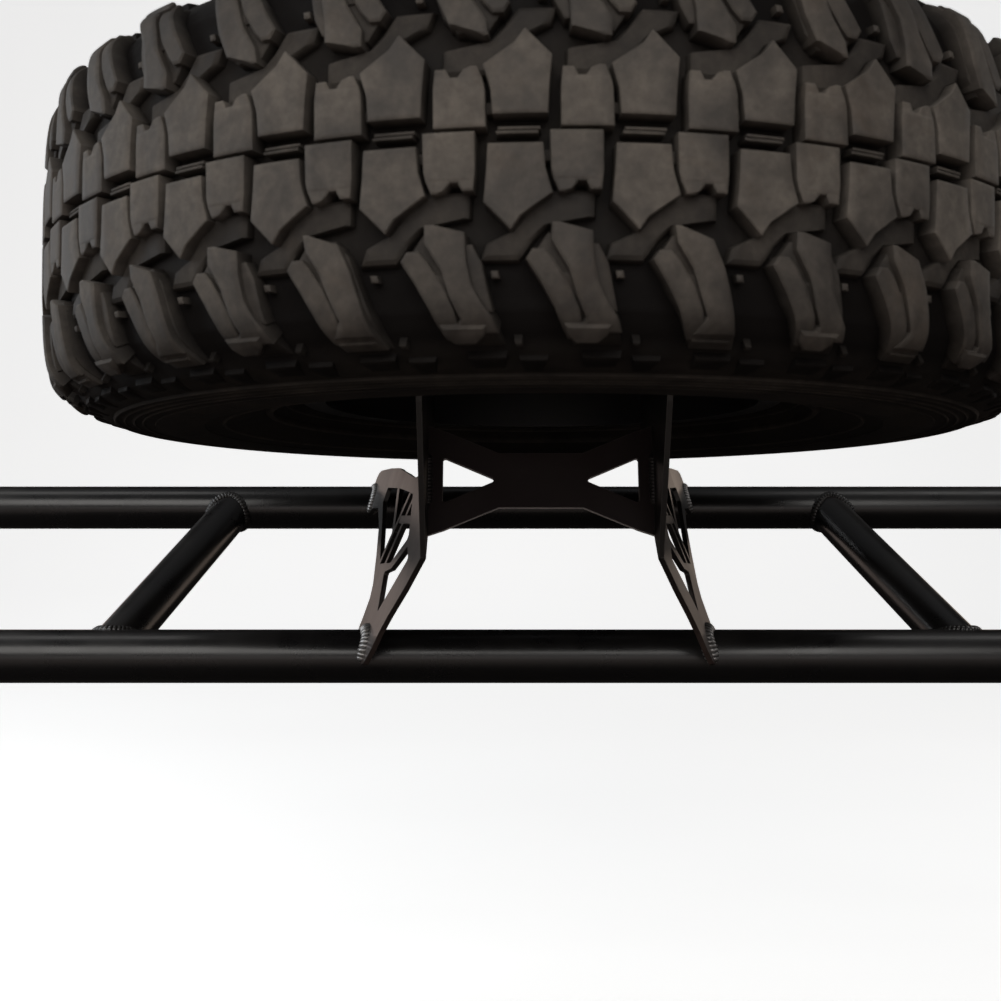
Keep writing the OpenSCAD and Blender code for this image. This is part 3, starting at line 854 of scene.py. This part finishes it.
def smooth_cad_nodes():
    """Smooth shading on the CAD nodes still shown, and the per-vertex value their rubber reads."""
    for thing in frame["nodes"].values():
        if thing.hide_render:
            continue
        mesh = thing.data
        mesh.polygons.foreach_set("use_smooth", [True] * len(mesh.polygons))
        mesh.set_sharp_from_angle(angle=math.radians(28))
        if "wear_and_shade" not in mesh.attributes:
            add_point_values(mesh, "wear_and_shade", np.full(len(mesh.vertices), 0.5))


build_tyre()
smooth_cad_nodes()

# ------------------------------------------------------------------ stage, in metres
FLOOR_Z = -0.36
FLOOR_HALF_WIDTH = 14
# Sweep section: y, z
SWEEP = [(-9, FLOOR_Z), (-2, FLOOR_Z), (1.8, FLOOR_Z), (2.6, FLOOR_Z + 0.06),
         (3.2, FLOOR_Z + 0.3), (3.6, FLOOR_Z + 0.9), (3.75, FLOOR_Z + 2.0), (3.8, FLOOR_Z + 6.0)]
# Area lights: name, place, target, size, watts, colour, seen by the camera, lights the floor
LIGHTS = [
    ("front", (-0.5, -2.7, 1.6), (0, 0, 0.15), (4.6, 1.5), 50, (1.0, 0.97, 0.93), True, True),
    # one strip over each end, none over the middle
    ("over_end_0", (-1.6, 0.10, 2.4), (-1.6, 0.101, 0.1), (1.5, 0.7), 3.4, (1.0, 0.985, 0.96),
     True, True),
    ("over_end_1", (1.6, 0.10, 2.4), (1.6, 0.101, 0.1), (1.5, 0.7), 3.4, (1.0, 0.985, 0.96),
     True, True),
    ("side_front", (-2.5, -0.33, 1.47), (-0.2, 0.1, 0.15), (0.55, 1.3), 10, (0.92, 0.96, 1.0),
     False, True),
    ("side_back", (-2.38, 1.31, 1.24), (-0.2, 0.1, 0.15), (0.6, 1.3), 8, (0.95, 0.97, 1.0),
     False, True),
    ("side_low", (-2.5, 0.1, 0.55), (0, 0, 0.25), (1.3, 0.8), 8, (0.90, 0.95, 1.0), False, True),
    ("rim", (2.5, 1.0, 1.1), (0.2, 0.1, 0.2), (0.7, 1.3), 6, (1.0, 0.97, 0.94), False, True),
    # these three skip the floor, so no edge of their beams shows on the sweep
    ("low_front", (0, -2.4, 0.02), (0, 0, 0.12), (3.6, 0.5), 3.6, (1.0, 0.90, 0.86),
     False, False),
    ("back_left", (-1.9, 3.1, 0.32), (0, 0.1, 0.1), (2.2, 1.1), 4.4, (1.0, 0.80, 0.71),
     False, False),
    ("back_right", (1.9, 3.1, 0.32), (0, 0.1, 0.1), (2.2, 1.1), 4.4, (1.0, 0.80, 0.66),
     False, False),
]


def add_to_scene(name, data):
    thing = bpy.data.objects.new(name, data)
    bpy.context.scene.collection.objects.link(thing)
    return thing


def build_floor():
    mesh = bpy.data.meshes.new("floor")
    verts = [(x, y, z) for y, z in SWEEP for x in (-FLOOR_HALF_WIDTH, FLOOR_HALF_WIDTH)]
    faces = [(2 * i, 2 * i + 1, 2 * i + 3, 2 * i + 2) for i in range(len(SWEEP) - 1)]
    mesh.from_pydata(verts, [], faces)
    mesh.polygons.foreach_set("use_smooth", [True] * len(mesh.polygons))
    floor = add_to_scene("floor", mesh)
    mesh.materials.append(FLOOR)
    return floor


def build_world():
    """Dim cool light on the part, a near-white backdrop for the camera."""
    world = bpy.data.worlds.new("studio")
    bpy.context.scene.world = world
    world.use_nodes = True
    nodes, links = world.node_tree.nodes, world.node_tree.links
    ambient = nodes["Background"]
    ambient.inputs["Color"].default_value = (0.95, 0.96, 1.0, 1)
    ambient.inputs["Strength"].default_value = 0.10
    backdrop = nodes.new("ShaderNodeBackground")
    backdrop.inputs["Color"].default_value = (0.97, 0.97, 0.968, 1)
    rays = nodes.new("ShaderNodeLightPath")
    choice = nodes.new("ShaderNodeMixShader")
    links.new(rays.outputs["Is Camera Ray"], choice.inputs[0])
    links.new(ambient.outputs[0], choice.inputs[1])
    links.new(backdrop.outputs[0], choice.inputs[2])
    links.new(choice.outputs[0], nodes["World Output"].inputs[0])


def build_lights(floor):
    skip_floor = []
    for name, place, target, size, watts, colour, seen, on_floor in LIGHTS:
        light = bpy.data.lights.new(name, "AREA")
        light.shape = "RECTANGLE"
        light.size, light.size_y = size
        light.energy = watts
        light.color = colour
        lamp = add_to_scene(name, light)
        lamp.location = place
        aim = Vector(target) - Vector(place)
        lamp.rotation_euler = aim.to_track_quat("-Z", "Y").to_euler()
        if not seen:
            lamp.visible_camera = False
        if not on_floor:
            skip_floor.append(lamp)
    not_floor = bpy.data.collections.new("all_but_floor")
    not_floor.objects.link(floor)
    not_floor.collection_objects[0].light_linking.link_state = "EXCLUDE"
    for lamp in skip_floor:
        lamp.light_linking.receiver_collection = not_floor


def build_camera():
    """Camera in front of the lower crossbar, tilted two degrees up."""
    lens = bpy.data.cameras.new("camera")
    lens.sensor_width = 36
    lens.lens = 42.365634
    lens.clip_end = 60
    lens.dof.use_dof = True
    lens.dof.focus_object = frame["nodes"]["lower_crossbar"]
    lens.dof.aperture_fstop = 13.0
    camera = add_to_scene("camera", lens)
    camera.location = (-0.035, -1.1285, 0.1092)
    camera.rotation_euler = (math.radians(90 + 2.0), 0, 0)
    bpy.context.scene.camera = camera


stage_floor = build_floor()
build_world()
bpy.context.scene.view_settings.view_transform = "Standard"
build_lights(stage_floor)
build_camera()
